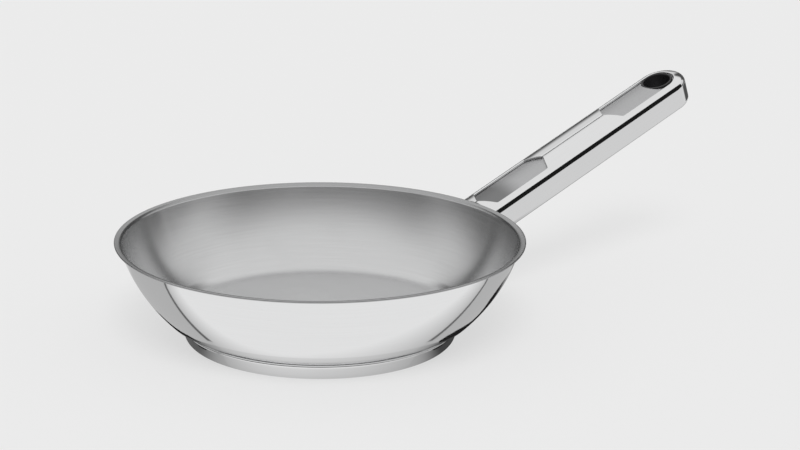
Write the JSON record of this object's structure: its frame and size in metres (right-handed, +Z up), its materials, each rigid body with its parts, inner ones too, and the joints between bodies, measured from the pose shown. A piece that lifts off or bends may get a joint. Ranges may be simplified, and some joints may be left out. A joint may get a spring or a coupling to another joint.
{
  "type": "omelette pan",
  "caption": "Small round stainless steel pan with a sloped wall, a thick capsule base and a long tilted handle with a hanging hole.",
  "frame": {"origin": "centre of the base's underside, on the pan's axis", "axes": "+Z up along the pan's axis, +X from the pan's axis towards the handle's end, +Y completes the frame"},
  "size_m": [0.347, 0.2, 0.0987],
  "materials": {
    "bowl_steel": "polished outside, turned satin inside",
    "core_aluminium": "plain",
    "base_steel": "polished side, turned underside",
    "handle_steel": "polished",
    "channel_steel": "satin",
    "bracket_steel": "plain",
    "black_sleeve": "smooth black"
  },
  "bodies": {
    "root": {"pan_body": "bowl_steel", "core_disc": "core_aluminium", "base_cap": "base_steel", "handle_shell": "handle_steel", "handle_channel": "channel_steel", "handle_bracket": "bracket_steel", "hang_sleeve": "black_sleeve"}
  },
  "joints": []
}
